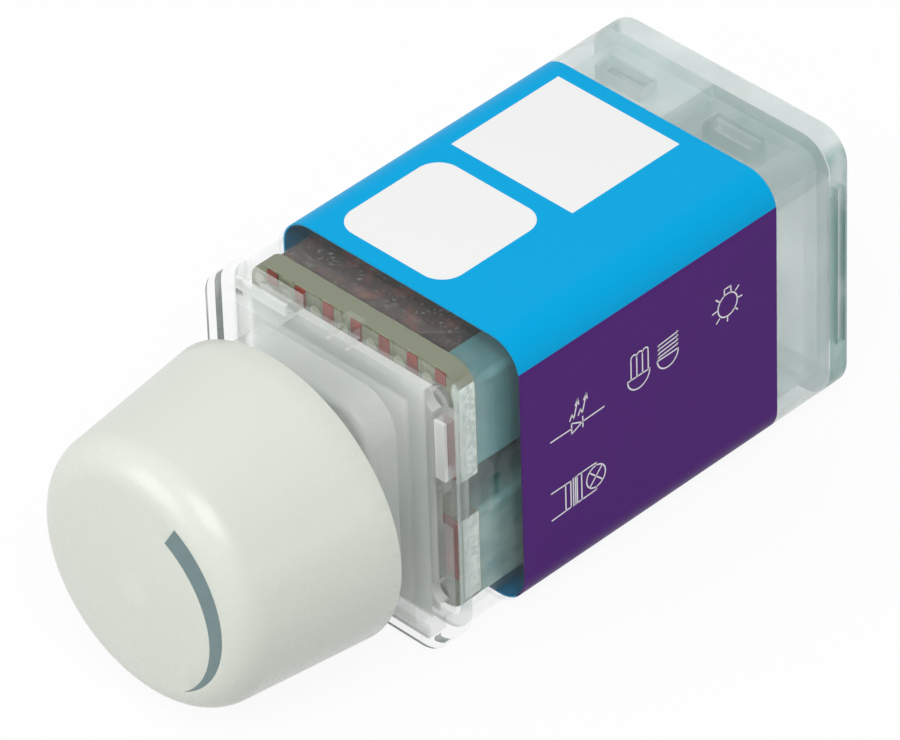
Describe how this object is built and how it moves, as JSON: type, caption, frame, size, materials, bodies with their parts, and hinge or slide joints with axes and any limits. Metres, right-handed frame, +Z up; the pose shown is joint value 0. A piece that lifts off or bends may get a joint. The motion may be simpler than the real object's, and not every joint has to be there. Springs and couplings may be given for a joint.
{
  "type": "rotary dimmer",
  "caption": "Square rotary dimmer module in a clear case, with a push-and-turn knob in front, clipped covers, rear wire guides and screw terminals inside.",
  "frame": {"origin": "on the shaft axis, in the plane of the front cover's face that seats against the back of the wall plate", "axes": "-Y out of the wall plate towards the knob, +Y back towards the wire entries, +Z up with the module upright, +X to the right seen from the knob's side"},
  "size_m": [0.0226, 0.0569, 0.0226],
  "materials": {
    "clear_plastic": "clear polycarbonate",
    "frosted_plastic": "frosted",
    "label_film": "printed film, light blue and violet",
    "board_laminate": "lacquered laminate",
    "copper": "tinned copper",
    "brass": "machined",
    "steel": "zinc plated",
    "knob_plastic": "fine matt",
    "pointer_plastic": "fine matt",
    "black_plastic": "moulded",
    "brown_laminate": "punched",
    "white_plastic": "moulded",
    "carbon_track": "printed carbon",
    "teal_epoxy": "dipped",
    "maroon_epoxy": "moulded, grainy",
    "blue_epoxy": "dipped",
    "can_sleeve": "sleeved can",
    "ferrite": "ground",
    "glass": "clear"
  },
  "bodies": {
    "housing": {"front_cover": "clear_plastic", "carrier_plate": "frosted_plastic", "main_housing": "clear_plastic", "wrap_label": "label_film", "rear_cap": "clear_plastic", "control_board": "board_laminate", "board_copper": "copper", "rotary_case": "black_plastic", "rotary_back": "brown_laminate", "shaft_bush": "steel", "resistance_track": "carbon_track", "switch_case": "black_plastic", "switch_contacts": "brass", "film_capacitor_upper": "teal_epoxy", "film_capacitor_lower": "teal_epoxy", "bridge_rectifier": "maroon_epoxy", "transistor_upper": "black_plastic", "transistor_lower": "black_plastic", "transistor_tabs": "steel", "controller_chip": "black_plastic", "chip_resistors": "black_plastic", "power_board": "board_laminate", "link_pins": "brass", "electrolytic_capacitor": "can_sleeve", "fuse_tube": "glass", "fuse_ends": "steel", "surge_disc": "blue_epoxy", "choke_core": "ferrite", "choke_winding": "copper", "terminal_left": "brass", "terminal_right": "brass"},
    "rotor": {"rotor": "white_plastic", "wiper": "brass", "return_spring": "steel"},
    "knob": {"knob": "knob_plastic", "knob_pointer": "pointer_plastic", "shaft": "brass", "shaft_clip": "steel"},
    "plunger": {"switch_plunger": "white_plastic", "contact_bridge": "brass"},
    "pressure_plate_left": {"pressure_plate_left": "steel"},
    "pressure_plate_right": {"pressure_plate_right": "steel"},
    "terminal_screw_left": {"terminal_screw_left": "steel"},
    "terminal_screw_right": {"terminal_screw_right": "steel"}
  },
  "joints": [
    {"name": "knob_turn", "type": "hinge", "parent": "housing", "child": "rotor", "pos_m": [0, 0.0112, 0], "axis": [0, 1, 0], "range_deg": [-140, 140]},
    {"name": "knob_push", "type": "slide", "parent": "rotor", "child": "knob", "axis": [0, 1, 0], "range_m": [0, 0.0008], "stiffness_N_per_m": 3000, "springref_m": -0.0005, "deforming": ["return_spring"]},
    {"name": "plunger_slide", "type": "slide", "parent": "housing", "child": "plunger", "axis": [0, 1, 0], "range_m": [0, 0.0008]},
    {"name": "plate_slide_left", "type": "slide", "parent": "housing", "child": "pressure_plate_left", "axis": [0, 0, 1], "range_m": [0, 0.0024]},
    {"name": "screw_turn_left", "type": "hinge", "parent": "pressure_plate_left", "child": "terminal_screw_left", "pos_m": [-0.005, 0.0278, -0.0073], "axis": [0, 0, 1], "range_deg": [0, 1440]},
    {"name": "plate_slide_right", "type": "slide", "parent": "housing", "child": "pressure_plate_right", "axis": [0, 0, 1], "range_m": [0, 0.0024]},
    {"name": "screw_turn_right", "type": "hinge", "parent": "pressure_plate_right", "child": "terminal_screw_right", "pos_m": [0.005, 0.0278, -0.0073], "axis": [0, 0, 1], "range_deg": [0, 1440]}
  ],
  "couplings": [
    {"joint": "plunger_slide", "follows": "knob_push", "ratio": 1},
    {"joint": "screw_turn_left", "follows": "plate_slide_left", "rad_per_m": 10472},
    {"joint": "screw_turn_right", "follows": "plate_slide_right", "rad_per_m": 10472}
  ]
}
